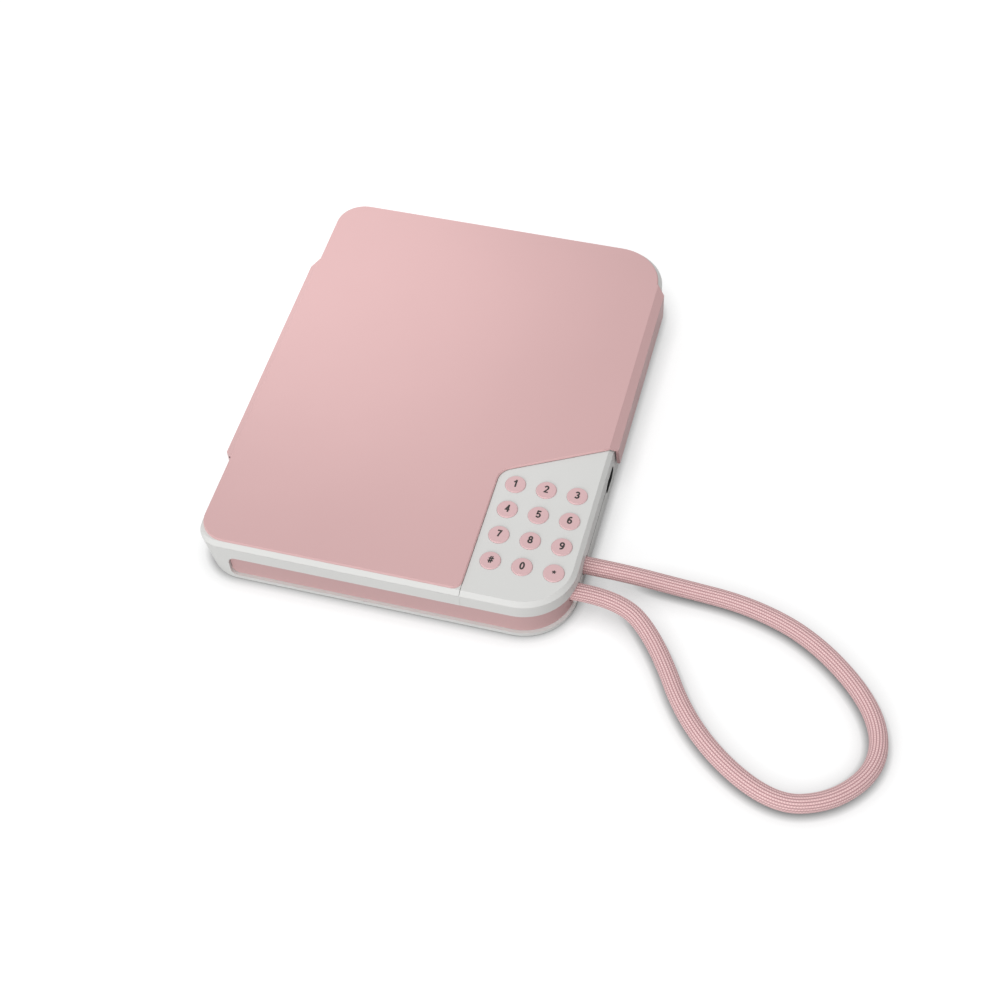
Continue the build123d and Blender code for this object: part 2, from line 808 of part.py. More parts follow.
# ================================================================ the lock
def lock_solenoid():
    """Electric actuator of the lock: bent bracket with the coil between its ends."""
    near, far = solenoid_ends()
    left = bolt_x - bracket_width / 2
    right = bolt_x + bracket_width / 2
    low = solenoid_bottom()
    high = bolt_z + coil_radius - coil_sink
    body = block(left, right, near, far, low, low + bracket_base)
    body += block(left, right, near, near + bracket_plate, low, high)
    body += block(left, right, far - bracket_plate, far, low, high)
    body += rod_y(bolt_x, bolt_z, near + bracket_plate, far - bracket_plate, coil_radius)
    return body - rod_y(bolt_x, bolt_z, near - 1.0, far - bracket_plate, bolt_radius + bolt_run)


def latch_bolt():
    """Sliding bolt: round plunger in the coil, flat nose with a lead for the keeper."""
    nose = keeper_y + keeper_thickness / 2 + bolt_gap
    shoulder = nose + bolt_tip_length
    tip = block(bolt_x - bolt_tip_width / 2, bolt_x + bolt_tip_width / 2, nose, shoulder + 0.5,
                bolt_z - bolt_tip_height / 2, bolt_z + bolt_tip_height / 2)
    tip = chamfer(tip.edges().filter_by(Axis.X).group_by(Axis.Y)[0], 0.6)
    return tip + rod_y(bolt_x, bolt_z, shoulder, shoulder + bolt_tail, bolt_radius)


def keeper_flange_box(grow):
    """The keeper's flange in its pocket under the lid."""
    half_x = keeper_width / 2 + grow
    half_y = keeper_flange_length / 2 + grow
    return block(bolt_x - half_x, bolt_x + half_x, keeper_y - half_y, keeper_y + half_y,
                 rim_edge - grow, rim_edge + keeper_flange + grow)


def latch_keeper():
    """Steel keeper that hangs from the lid; the bolt passes through its window."""
    half = keeper_width / 2
    low = bolt_z - bolt_tip_height / 2 - keeper_window_gap - keeper_web
    near = keeper_y - keeper_thickness / 2
    far = keeper_y + keeper_thickness / 2
    tongue = block(bolt_x - half, bolt_x + half, near, far, low, rim_edge + keeper_flange)
    tongue = chamfer(tongue.edges().filter_by(Axis.Y).group_by(Axis.Z)[0], 1.5)
    window_x = bolt_tip_width / 2 + keeper_window_gap
    window_z = bolt_tip_height / 2 + keeper_window_gap
    tongue -= block(bolt_x - window_x, bolt_x + window_x, near - 1, far + 1,
                    bolt_z - window_z, bolt_z + window_z)
    return tongue + keeper_flange_box(0)


# ================================================================ the lid
def bumper_places():
    """Plan centres of the lid's bumpers, over the deck."""
    near_y = front + 9.6
    far_y = back - 6.4
    beside_tub = [(tub_left + 24.0, near_y), (tub_right - 8.0, near_y), (tub_left + 24.0, far_y)]
    return beside_tub + [(body_right - 22.0, back - 22.0)]


def magnet_centre():
    """Plan centre of the magnet that tells the board that the lid is shut."""
    return body_right - 15.0, slant_y(body_right - 15.0) + 14.0


def stake_places():
    """Pins of the cover that are melted over under the frame."""
    xs = (body_left + 14.0, keypad_left - 8.0)
    return [(x, y) for x in xs for y in (front + 30.0, back - 30.0)]


def lid_frame():
    """White inner plate of the lid with the bevelled rim."""
    frame = rim_form() - prism(keypad_zone(seam), 0, above)
    frame -= keeper_flange_box(fit_gap)
    x, y = magnet_centre()
    frame -= rod(x, y, rim_edge - 1.0, rim_edge + magnet_height + fit_gap, magnet_radius + fit_gap)
    for x, y in stake_places():
        frame -= rod(x, y, 0, above, stake_radius + fit_gap)
    return frame


def cover_plan():
    """Plan face of the pink skin: four different corners and the keypad's corner cut out."""
    left = body_left + cover_margin_spine
    right = body_right - cover_margin_open
    near = front + cover_margin
    far = back - cover_margin
    face = plan_box(left, right, near, far)
    face = fillet(corners(face, [(left, near)]), cover_front_radius)
    face = fillet(corners(face, [(left, far)]), cover_back_radius)
    face = fillet(corners(face, [(right, far)]), cover_open_radius)
    face -= keypad_zone(skin_gap - seam)
    return fillet(corners(face, [(keypad_left, near)]), cover_keypad_radius)


def open_wing():
    """Wing over the opening side: slanted shoulder and finger flange, slanted at both ends."""
    outer = cover_width / 2
    inner = outer - wing_wall_open
    edge = body_right - cover_margin_open
    points = [
        (edge - 2.0, cover_top), (edge + 0.2, cover_top), (outer, shoulder_z), (outer, wing_bottom),
        (inner, wing_bottom), (inner, shoulder_z - 0.1), (edge + 0.4, rim_top + 0.2), (edge + 0.4, rim_top),
        (edge - 2.0, rim_top),
    ]
    far = back - open_wing_back_margin
    wing = profile_y(points, slant_y(edge) - 10.0, far)
    reach = outer + 1.0
    end = [(edge + 0.2, far), (reach, far - wing_end - 1.0), (reach, far + 1.0), (edge + 0.2, far + 1.0)]
    wing -= prism(make_face(Polyline(end, close=True)), 0, above)
    wing -= prism(keypad_zone(seam), 0, above)
    tip_y = slant_y(outer, seam) - 1.0
    lead = [(tip_y, shoulder_z), (tip_y, wing_bottom - 1.0), (tip_y + wing_lead + 1.0, wing_bottom - 1.0),
            (tip_y + 1.0, shoulder_z)]
    lead_face = make_face(Polyline([Vector(inner - 1.0, y, z) for y, z in lead], close=True))
    return wing - extrude(lead_face, amount=wing_wall_open + 3.0, dir=(1, 0, 0))


def spine_wing():
    """Wing over the spine: it wraps down to the hinge and carries the lid's knuckles."""
    outer = -cover_width / 2
    inner = outer + wing_wall_spine
    edge = body_left + cover_margin_spine
    points = [
        (edge + 2.0, cover_top), (edge, cover_top), (outer, shoulder_z), (outer, hinge_z),
        (inner, hinge_z), (inner, shoulder_z - 0.1), (edge - 0.4, rim_top), (edge + 2.0, rim_top),
    ]
    near, far = wing_span()
    wing = profile_y(points, near, far)
    reach = outer - 1.0
    for end_y, step in ((near, 1), (far, -1)):
        cut_y = end_y + step * (wing_end + 1.0)
        end = [(edge, end_y), (reach, cut_y), (reach, end_y - step), (edge, end_y - step)]
        wing -= prism(make_face(Polyline(end, close=True)), 0, above)
    half_gap = knuckle_gap / 2
    for is_lid, start, end in knuckles():
        if is_lid:
            wing += rod_y(hinge_x, hinge_z, start + half_gap, end - half_gap, knuckle_radius)
        else:
            top = hinge_z + knuckle_radius + wing_clear
            wing -= block(outer - 1.0, inner + 1.0, start - half_gap, end + half_gap, 0, top)
    return wing - rod_y(hinge_x, hinge_z, near, far, pin_radius + pin_run)


def lid_cover():
    """Pink cover: thin raised skin with a bevelled edge, one wing over each side."""
    skin = prism(cover_plan(), rim_top, cover_top)
    skin = chamfer(skin.edges().group_by(Axis.Z)[-1], cover_edge)
    cover = skin + open_wing() + spine_wing()
    for x, y in stake_places():
        cover += rod(x, y, rim_edge, rim_top, stake_radius)
    return cover


def hinge_pin():
    """Steel pin through all five knuckles."""
    spans = knuckles()
    return rod_y(hinge_x, hinge_z, spans[0][1] + 0.5, spans[-1][2] - 0.5, pin_radius)


def lid_bumpers():
    """Soft pads that the lid comes down on."""
    return [rod(x, y, deck_top + bumper_gap, rim_edge, bumper_radius) for x, y in bumper_places()]


def lid_magnet():
    """Disc magnet in its pocket in the lid frame."""
    x, y = magnet_centre()
    return rod(x, y, rim_edge, rim_edge + magnet_height, magnet_radius)


# ================================================================ the wrist strap
def wrist_strap():
    """Round braided strap: straight runs joined by arcs as large as the runs allow."""
    points = [Vector(body_right + x, front + y, z) for x, y, z in strap_route]
    runs = [(b - a).length for a, b in zip(points, points[1:])]
    radii = []
    for index in range(1, len(points) - 1):
        turn = (points[index] - points[index - 1]).get_angle(points[index + 1] - points[index])
        radii.append(0.45 * min(runs[index - 1], runs[index]) / tan(radians(turn) / 2))
    line = FilletPolyline(*points, radius=radii)
    print("strap radii:", [round(radius, 1) for radius in radii])
    tube = sweep(Plane(origin=line @ 0, z_dir=line % 0) * Circle(strap_radius), path=line)
    share = tube.volume / (Circle(strap_radius).area * line.length)
    print(f"strap length {line.length:.1f}, volume over section times length {share:.4f}")
    face_x = body_right - anchor_inset
    return tube - block(face_x - 20.0, face_x, front, back, 0, above)


# ================================================================ write every piece
def save(name, shape):
    """Write one piece, or one group of alike pieces, to its own file."""
    if isinstance(shape, list):
        shape = Compound([piece.solid() for piece in shape])
    export_step(shape, f"parts/{name}.step")


save("base_shell", base_shell())
save("front_trim_band", front_trim_band())
save("rubber_feet", rubber_feet())
save("case_screws", [case_screw(x, y) for x, y in housing_posts() + tray_posts()])
save("keypad_housing", keypad_housing())
save("keypad_membrane", keypad_membrane())
save("keypad_board", keypad_board())
save("board_screws", board_screws())
for key_name, key_x, key_y in key_places():
    save(f"key_{key_name}", key(key_x, key_y))
save("inner_tray", inner_tray())
save("notebook_cover", notebook_cover())
save("notebook_pages", notebook_pages())
save("main_board", main_board())
save("usb_socket", usb_socket())
save("speaker", speaker())
save("battery_cell", battery_cell())
save("strap_anchor", strap_anchor())
save("anchor_screw", anchor_screw())
save("lock_solenoid", lock_solenoid())
save("latch_bolt", latch_bolt())
save("latch_keeper", latch_keeper())
save("lid_frame", lid_frame())
save("lid_cover", lid_cover())
save("hinge_pin", hinge_pin())
save("lid_bumpers", lid_bumpers())
save("lid_magnet", lid_magnet())
save("wrist_strap", wrist_strap())
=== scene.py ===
# %% [markdown]
# # An electronic diary, dressed in Blender
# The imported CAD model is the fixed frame: a shallow white case, a pink cover hinged along its
# spine, a keypad in one corner and a wrist strap. This script gives every piece its finish and
# lights it, and it models what the CAD leaves plain: the braided strap, the printed digits and the
# lining of the charging port. Everything is in metres, in the CAD's own frame.

# %% Load the frame
from math import atan2, cos, pi, radians, sin

import bmesh
import bpy
from mathutils import Matrix, Vector


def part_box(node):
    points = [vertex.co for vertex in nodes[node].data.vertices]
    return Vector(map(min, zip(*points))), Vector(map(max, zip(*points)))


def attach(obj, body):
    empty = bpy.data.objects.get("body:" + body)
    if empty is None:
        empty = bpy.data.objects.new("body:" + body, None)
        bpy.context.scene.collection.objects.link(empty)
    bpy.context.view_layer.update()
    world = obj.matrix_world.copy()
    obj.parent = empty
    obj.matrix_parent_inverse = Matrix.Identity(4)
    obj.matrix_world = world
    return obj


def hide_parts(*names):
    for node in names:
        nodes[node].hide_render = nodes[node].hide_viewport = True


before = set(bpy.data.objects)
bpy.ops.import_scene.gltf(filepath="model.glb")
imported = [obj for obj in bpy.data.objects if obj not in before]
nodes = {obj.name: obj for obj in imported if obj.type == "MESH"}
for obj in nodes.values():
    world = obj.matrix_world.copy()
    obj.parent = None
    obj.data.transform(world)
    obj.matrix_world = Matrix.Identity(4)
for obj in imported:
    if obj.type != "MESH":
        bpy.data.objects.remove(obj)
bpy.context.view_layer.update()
MM = 0.001
bpy.ops.object.select_all(action="DESELECT")

# %% [markdown]
# ## The camera
# A product shot from the front right, well above the table. The lens is long, about 65 mm on a
# 36 mm sensor, so the case's edges stay nearly parallel. The camera turns round a point on the
# table: azimuth and elevation place it, and a small roll tilts the picture.

# %% Place the camera
CAMERA_AZIMUTH = radians(18.16976)
CAMERA_ELEVATION = radians(53.20024)
CAMERA_ROLL = radians(-3.70323)
CAMERA_DISTANCE = 0.832804
CAMERA_TARGET = Vector((0.0367205, -0.0391174, 0.0))
CAMERA_LENS = 65.01031         # millimetres, on a sensor 36 mm wide
SENSOR_WIDTH = 36

back = Vector((sin(CAMERA_AZIMUTH) * cos(CAMERA_ELEVATION),
               -cos(CAMERA_AZIMUTH) * cos(CAMERA_ELEVATION),
               sin(CAMERA_ELEVATION)))
level = Vector((cos(CAMERA_AZIMUTH), sin(CAMERA_AZIMUTH), 0))
steep = back.cross(level)
right = cos(CAMERA_ROLL) * level + sin(CAMERA_ROLL) * steep
up = cos(CAMERA_ROLL) * steep - sin(CAMERA_ROLL) * level

camera_data = bpy.data.cameras.new("camera")
camera_data.lens = CAMERA_LENS
camera_data.sensor_width = SENSOR_WIDTH
camera = bpy.data.objects.new("camera", camera_data)
bpy.context.scene.collection.objects.link(camera)
turn = Matrix((right, up, back)).transposed().to_4x4()
camera.matrix_world = Matrix.Translation(CAMERA_TARGET + back * CAMERA_DISTANCE) @ turn
bpy.context.scene.camera = camera
print("camera at", [round(x, 4) for x in camera.location])

# %% [markdown]
# ## The wrist strap's route
# The strap is one limp round braid, 8 mm thick. Both ends go into the opening side of the case.
# It leaves straight, droops to the table and runs round in one loose teardrop. Its centreline is
# a NURBS spline of order 3, pulled by a few control points, so its curvature changes smoothly, as
# it does in a real cord. The points that lie on the table are one strap radius above it.

# %% Lay the route
STRAP_RADIUS = 4.0 * MM
LYING = 0.00405                # height of the centreline where the strap lies on the table
SPLINE_ORDER = 3
SPLINE_STEPS = 24              # points on the line for each control point
strap_points = [
    (0.0790, -0.0722, 0.0102), (0.0998, -0.0716, 0.0096), (0.1260, -0.0697, LYING),
    (0.1603, -0.0720, LYING), (0.1907, -0.0837, LYING), (0.2190, -0.1104, LYING),
    (0.2251, -0.1362, LYING), (0.2090, -0.1578, LYING), (0.1835, -0.1650, LYING),
    (0.1460, -0.1395, LYING), (0.1225, -0.0980, LYING), (0.1025, -0.0842, 0.0086),
    (0.0790, -0.0870, 0.0102),
]
route_data = bpy.data.curves.new("strap_route", "CURVE")
route_data.dimensions = "3D"
route_data.resolution_u = SPLINE_STEPS
spline = route_data.splines.new("NURBS")
spline.points.add(len(strap_points) - 1)
for point, place in zip(spline.points, strap_points):
    point.co = (*place, 1)
spline.order_u = SPLINE_ORDER
spline.use_endpoint_u = True
route = bpy.data.objects.new("strap_route", route_data)
bpy.context.scene.collection.objects.link(route)
bpy.context.view_layer.update()
smooth_route = route.evaluated_get(bpy.context.evaluated_depsgraph_get())
line_mesh = bpy.data.meshes.new_from_object(smooth_route)
centreline = [vertex.co.copy() for vertex in line_mesh.vertices]
lengths = [0.0]
for start, end in zip(centreline, centreline[1:]):
    lengths.append(lengths[-1] + (end - start).length)
STRAP_LENGTH = lengths[-1]
bpy.data.meshes.remove(line_mesh)
bpy.data.objects.remove(route)
print("strap length", round(STRAP_LENGTH, 4), "points", len(centreline))

# %% [markdown]
# ## The braid
# A knitted cord is a tube of small ribs that run along it, each rib a column of stitches. A plain
# tube with a bump map would lose the ribs along its silhouette, so they are modelled: each ring
# of the tube is a flower of eighteen lobes. Rings are carried along the line without twisting,
# and a UV map unrolls the tube so that the stitches can follow it.

# %% Sweep the ribbed tube
BRAID_RIBS = 18
POINTS_PER_RIB = 6
RIB_DEPTH = 0.28 * MM
RIB_ROUNDNESS = 0.7            # less than 1 makes the ribs full and the valleys narrow
RING_STEP = 0.9 * MM


def mesh_object(name, mesh):
    """Turn a bmesh into an object of the scene."""
    data = bpy.data.meshes.new(name)
    mesh.to_mesh(data)
    mesh.free()
    piece = bpy.data.objects.new(name, data)
    bpy.context.scene.collection.objects.link(piece)
    return piece


def point_along(distance):
    """Point on the strap's centreline at a distance from its start."""
    for index in range(1, len(lengths)):
        if lengths[index] >= distance:
            break
    share = (distance - lengths[index - 1]) / (lengths[index] - lengths[index - 1])
    return centreline[index - 1].lerp(centreline[index], share)


def sweep_braid():
    """Ribbed tube round the centreline. Its UV counts ribs across and millimetres along."""
    ring_count = int(STRAP_LENGTH / RING_STEP)
    around = BRAID_RIBS * POINTS_PER_RIB
    path = [point_along(STRAP_LENGTH * k / ring_count) for k in range(ring_count + 1)]
    mesh = bmesh.new()
    uv_layer = mesh.loops.layers.uv.new("unrolled")
    side = Vector((0, 0, 1))
    rings = []
    for k, centre in enumerate(path):
        ahead = (path[min(k + 1, ring_count)] - path[max(k - 1, 0)]).normalized()
        side = (side - ahead * side.dot(ahead)).normalized()
        across = ahead.cross(side)
        ring = []
        for j in range(around):
            angle = 2 * pi * j / around
            lobe = abs(sin(angle * BRAID_RIBS / 2)) ** RIB_ROUNDNESS
            reach = STRAP_RADIUS - RIB_DEPTH * (1 - lobe)
            spoke = side * (cos(angle) * reach) + across * (sin(angle) * reach)
            ring.append(mesh.verts.new(centre + spoke))
        rings.append(ring)
    for k in range(ring_count):
        for j in range(around):
            following = (j + 1) % around
            face = mesh.faces.new((rings[k][j], rings[k][following],
                                   rings[k + 1][following], rings[k + 1][j]))
            face.smooth = True
            corners = ((j, k), (j + 1, k), (j + 1, k + 1), (j, k + 1))
            for loop, (column, row) in zip(face.loops, corners):
                loop[uv_layer].uv = (column / POINTS_PER_RIB, STRAP_LENGTH * row / ring_count / MM)
    mesh.faces.new(list(reversed(rings[0])))
    mesh.faces.new(rings[-1])
    bmesh.ops.recalc_face_normals(mesh, faces=mesh.faces)
    return mesh_object("braided_strap", mesh)


braided_strap = sweep_braid()
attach(braided_strap, "case")
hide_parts("wrist_strap")
print("braid faces", len(braided_strap.data.polygons))

# %% [markdown]
# ## Node helpers
# Every finish is a small node tree. A few helpers keep each tree readable. They add a node with
# its options and sockets, work out a value, blend two colours, start a material with its
# coordinates in hand, and link the three things that most finishes vary: colour, gloss and bump.

# %% Helpers for materials
def add(tree, kind, options=None, **sockets):
    """Add a node. A socket is named, with an underscore for a space, or numbered, as in _0.

    A value is set on the socket, and another node's output is linked to it."""
    made = tree.nodes.new("ShaderNode" + kind)
    for option, value in (options or {}).items():
        setattr(made, option, value)
    for name, value in sockets.items():
        number = name[1:]
        socket = made.inputs[int(number) if number.isdigit() else name.replace("_", " ")]
        if isinstance(value, bpy.types.NodeSocket):
            tree.links.new(value, socket)
        else:
            socket.default_value = value
    return made


def compute(tree, operation, *values, clamp=False):
    """Output of a Math node on one to three values."""
    sockets = {"_" + str(k): value for k, value in enumerate(values)}
    return add(tree, "Math", {"operation": operation, "use_clamp": clamp}, **sockets).outputs[0]


def span(tree, value, low, high, at_low, at_high):
    """Value that runs from at_low to at_high while another runs from low to high."""
    return add(tree, "MapRange", Value=value, From_Min=low, From_Max=high,
               To_Min=at_low, To_Max=at_high).outputs["Result"]


def blend(tree, share, first, second, how="MIX"):
    """Colour made of two colours."""
    return add(tree, "Mix", {"data_type": "RGBA", "blend_type": how},
               _0=share, _6=first, _7=second).outputs[2]


def noise(tree, place, scale, detail, **sockets):
    """Noise between 0 and 1; its scale counts cells in a metre."""
    return add(tree, "TexNoise", Vector=place, Scale=scale, Detail=detail, **sockets).outputs["Fac"]


def start_material(name, **constants):
    """New material with one Principled shader; returns it with its tree, shader and coordinates."""
    material = bpy.data.materials.new(name)
    material.use_nodes = True
    tree = material.node_tree
    tree.nodes.clear()
    shader = add(tree, "BsdfPrincipled", **constants)
    add(tree, "OutputMaterial", Surface=shader.outputs["BSDF"])
    return material, tree, shader, add(tree, "TexCoord").outputs


def vary_colour(tree, shader, share, first, second):
    """Paint a shader between two colours."""
    tree.links.new(blend(tree, share, first, second), shader.inputs["Base Color"])


def vary_gloss(tree, shader, share, smooth, rough, low=0.0, high=1.0):
    """Let a shader's roughness run between two values."""
    tree.links.new(span(tree, share, low, high, smooth, rough), shader.inputs["Roughness"])


def raise_bump(tree, shader, height, strength, depth):
    """Raise a shader's surface by a height."""
    bump = add(tree, "Bump", Height=height, Strength=strength, Distance=depth)
    tree.links.new(bump.outputs["Normal"], shader.inputs["Normal"])


def linear(red, green, blue):
    """Display colour, 0 to 255, as the linear colour that shaders take."""
    def channel(value):
        share = value / 255
        return share / 12.92 if share <= 0.04045 else ((share + 0.055) / 1.055) ** 2.4
    return (channel(red), channel(green), channel(blue), 1)


def shaded(colour, factor):
    """The same colour, darker or lighter."""
    return tuple(min(1.0, channel * factor) for channel in colour[:3]) + (1,)


def dress(material, *names):
    """Give CAD nodes a material in place of their plain one."""
    for name in names:
        mesh = nodes[name].data
        mesh.materials.clear()
        mesh.materials.append(material)


print("white in linear light", [round(x, 3) for x in linear(255, 255, 255)])

# %% [markdown]
# ## Moulded plastic
# Case, cover and keys are injection-moulded, with a fine spark-eroded grain from the mould. The
# colour drifts very slightly where the plastic flowed, the gloss varies a little from handling,
# and the grain is a bump about a hundredth of a millimetre deep.

# %% Mix the plastics
GRAIN_DEPTH = 0.012 * MM
GRAIN_SCALE = 2600
PLASTIC_IOR = 1.47


def moulded_plastic(name, colour, roughness, specular=0.14):
    """Satin moulded plastic: drifting colour, uneven gloss, fine grain."""
    material, tree, shader, coordinates = start_material(name, IOR=PLASTIC_IOR,
                                                         Specular_IOR_Level=specular)
    place = coordinates["Object"]
    vary_colour(tree, shader, noise(tree, place, 11, 3), shaded(colour, 0.965),
                shaded(colour, 1.035))
    vary_gloss(tree, shader, noise(tree, place, 70, 5, Roughness=0.6), roughness - 0.05,
               roughness + 0.06, 0.3, 0.7)
    raise_bump(tree, shader, noise(tree, place, GRAIN_SCALE, 2), 0.35, GRAIN_DEPTH)
    return material


def darken_between(material, low, high, share):
    """Darken a plastic's colour inside one box of its object's space: painted shade in a narrow
    gap.
    """
    tree = material.node_tree
    colour = next(n for n in tree.nodes if n.type == "BSDF_PRINCIPLED").inputs["Base Color"]
    axes = add(tree, "SeparateXYZ", Vector=add(tree, "TexCoord").outputs["Object"])
    inside = 1.0
    for axis, least, most in zip("XYZ", low, high):
        above = compute(tree, "GREATER_THAN", axes.outputs[axis], least)
        below = compute(tree, "LESS_THAN", axes.outputs[axis], most)
        inside = compute(tree, "MULTIPLY", inside, compute(tree, "MULTIPLY", above, below))
    plain = colour.links[0].from_socket
    tree.links.new(blend(tree, inside, plain, (share, share, share, 1), "MULTIPLY"), colour)


SHELL_WHITE = linear(222, 222, 220)
COVER_PINK = linear(217, 178, 178)
BAND_PINK = linear(206, 170, 170)
KEY_PINK = linear(221, 184, 186)
GAP_LOW = (0.0780, -0.0870, 0.01128)       # the gap under the keypad's lower skirt
GAP_HIGH = (0.0851, -0.0298, 0.01209)
PAINTED_GAP_SHADE = 0.25                           # share of its colour that the painted shade leaves in the gap
KEY_NAMES = ["1", "2", "3", "4", "5", "6", "7", "8", "9", "hash", "0", "star"]

shell_white = moulded_plastic("shell_white", SHELL_WHITE, 0.42)
case_white_shaded_gap = moulded_plastic("case_white_shaded_gap", SHELL_WHITE, 0.42)
# Painted shade: the case's white is darker in the gap under the keypad's lower skirt.
darken_between(case_white_shaded_gap, GAP_LOW, GAP_HIGH, PAINTED_GAP_SHADE)
tray_white = moulded_plastic("tray_white", shaded(SHELL_WHITE, 0.97), 0.5)
cover_pink = moulded_plastic("cover_pink", COVER_PINK, 0.44)
band_pink = moulded_plastic("band_pink", BAND_PINK, 0.46)
key_pink = moulded_plastic("key_pink", KEY_PINK, 0.40, specular=0.5)
dress(case_white_shaded_gap, "base_shell")
dress(shell_white, "keypad_housing", "lid_frame", "strap_anchor")
dress(tray_white, "inner_tray")
dress(cover_pink, "lid_cover")
dress(band_pink, "front_trim_band")
dress(key_pink, *["key_" + name for name in KEY_NAMES])
plastics = (shell_white, case_white_shaded_gap, tray_white, cover_pink, band_pink, key_pink)
print("plastics", [plastic.name for plastic in plastics])

# %% [markdown]
# ## The braid's yarn
# Each rib is a column of small stitches. The unrolled UV map counts ribs across and millimetres
# along, so a sine wave along the cord, skewed to each side of a rib's crest, draws the V of a
# knitted stitch. Yarn between the ribs lies in shade and is darker.

# %% Dye and knit the strap
YARN_LIGHT = linear(252, 216, 215)
YARN_SHADE = linear(170, 122, 127)
STITCH_LENGTH = 1.10           # millimetres along the cord
STITCH_LEAN = 1.1              # millimetres that a stitch trails for each rib's width aside
STITCH_DARK = 0.48             # light that is left between two stitches of a rib
CREST_EDGE = 0.22              # where a rib's crest ends and its valley starts, in rib widths
FUZZ_SHARE = 0.35


def knitted_yarn():
    """Knitted yarn on the unrolled UV map: V stitches on each rib, dark valleys between ribs."""
    material, tree, shader, coordinates = start_material(
        "strap_yarn", Roughness=0.82, Sheen_Weight=0.25, Sheen_Roughness=0.5)
    unrolled = add(tree, "SeparateXYZ", Vector=coordinates["UV"]).outputs
    across = compute(tree, "FRACT", unrolled["X"])
    aside = compute(tree, "ABSOLUTE", compute(tree, "SUBTRACT", across, 0.5))
    rib = compute(tree, "FLOOR", unrolled["X"])
    staggered = compute(tree, "MULTIPLY_ADD", rib, STITCH_LENGTH / 2, unrolled["Y"])
    skewed = compute(tree, "MULTIPLY_ADD", aside, STITCH_LEAN, staggered)
    stitch = compute(tree, "SINE", compute(tree, "MULTIPLY", skewed, 2 * pi / STITCH_LENGTH))
    crest = span(tree, aside, CREST_EDGE, 0.5, 1.0, 0.0)
    lit = compute(tree, "MULTIPLY", span(tree, stitch, -1.0, 1.0, STITCH_DARK, 1.0), crest)
    fuzz = noise(tree, coordinates["Object"], 2600, 4)
    speckle = span(tree, fuzz, 0.3, 0.7, 0.85, 1.1)
    vary_colour(tree, shader, compute(tree, "MULTIPLY", lit, speckle), YARN_SHADE, YARN_LIGHT)
    height = compute(tree, "MULTIPLY_ADD", fuzz, FUZZ_SHARE, lit)
    raise_bump(tree, shader, height, 0.6, 0.12 * MM)
    return material


braided_strap.data.materials.append(knitted_yarn())
print("stitches along the strap", round(STRAP_LENGTH / MM / STITCH_LENGTH))

# %% [markdown]
# ## Metal, rubber, paper and boards
# The rest is mostly seen when the cover is open or from below: plated steel with a fine brushed
# grain, dull rubber, the notebook's card and its stacked page edges, and inside the case the
# green boards, the foil cell and the copper coil.

# %% Mix the small finishes
def brushed_metal(name, colour, roughness, stretch):
    """Metal with fine lines along one axis: the noise is squeezed along that axis the most."""
    material, tree, shader, coordinates = start_material(name, Metallic=1.0)
    squeezed = add(tree, "Mapping", Vector=coordinates["Object"], Scale=stretch).outputs[0]
    lines = noise(tree, squeezed, 900, 4)
    vary_colour(tree, shader, lines, shaded(colour, 0.8), colour)
    vary_gloss(tree, shader, lines, roughness - 0.1, roughness + 0.15)
    raise_bump(tree, shader, lines, 0.3, 0.01 * MM)
    return material


def dull_rubber(name, colour):
    """Soft moulded rubber: rough, finely pitted."""
    material, tree, shader, coordinates = start_material(name, Roughness=0.75)
    pits = noise(tree, coordinates["Object"], 1500, 3)
    vary_colour(tree, shader, pits, shaded(colour, 0.8), shaded(colour, 1.15))
    raise_bump(tree, shader, pits, 0.4, 0.03 * MM)
    return material


def stacked_pages():
    """Edges of stacked sheets: thin lines level with the table, a little uneven."""
    material, tree, shader, coordinates = start_material("stacked_pages", Roughness=0.9)
    squeezed = add(tree, "Mapping", Vector=coordinates["Object"], Scale=(30, 30, 9000))
    sheets = noise(tree, squeezed.outputs[0], 1, 2)
    vary_colour(tree, shader, sheets, linear(205, 199, 186), linear(250, 248, 240))
    raise_bump(tree, shader, sheets, 0.8, 0.08 * MM)
    return material


def pressed_card():
    """Coated card of the notebook's cover: faint fibres under a soft sheen."""
    material, tree, shader, coordinates = start_material("pressed_card", Sheen_Weight=0.08)
    fibres = noise(tree, coordinates["Object"], 420, 6, Roughness=0.7)
    vary_colour(tree, shader, fibres, linear(211, 172, 175), linear(226, 190, 192))
    vary_gloss(tree, shader, fibres, 0.5, 0.75)
    raise_bump(tree, shader, fibres, 0.3, 0.03 * MM)
    return material


def circuit_board():
    """Green solder mask with straight tracks under it."""
    material, tree, shader, coordinates = start_material("circuit_board", Roughness=0.35,
                                                         Coat_Weight=0.3)
    tracks = add(tree, "TexBrick", {"offset": 0.37}, Vector=coordinates["Object"], Scale=220.0,
                 Mortar_Size=0.09, Color1=linear(16, 82, 46), Color2=linear(20, 92, 52),
                 Mortar=linear(40, 122, 70))
    tree.links.new(tracks.outputs["Color"], shader.inputs["Base Color"])
    raise_bump(tree, shader, tracks.outputs["Fac"], 0.3, 0.03 * MM)
    return material


def wound_coil():
    """Copper wire wound in close turns, for the solenoid."""
    material, tree, shader, coordinates = start_material("wound_coil", Metallic=1.0,
                                                         Roughness=0.35)
    turns = add(tree, "TexWave", {"bands_direction": "Y"}, Vector=coordinates["Object"],
                Scale=900.0).outputs["Fac"]
    vary_colour(tree, shader, turns, linear(140, 92, 60), linear(214, 150, 104))
    raise_bump(tree, shader, turns, 0.7, 0.1 * MM)
    return material


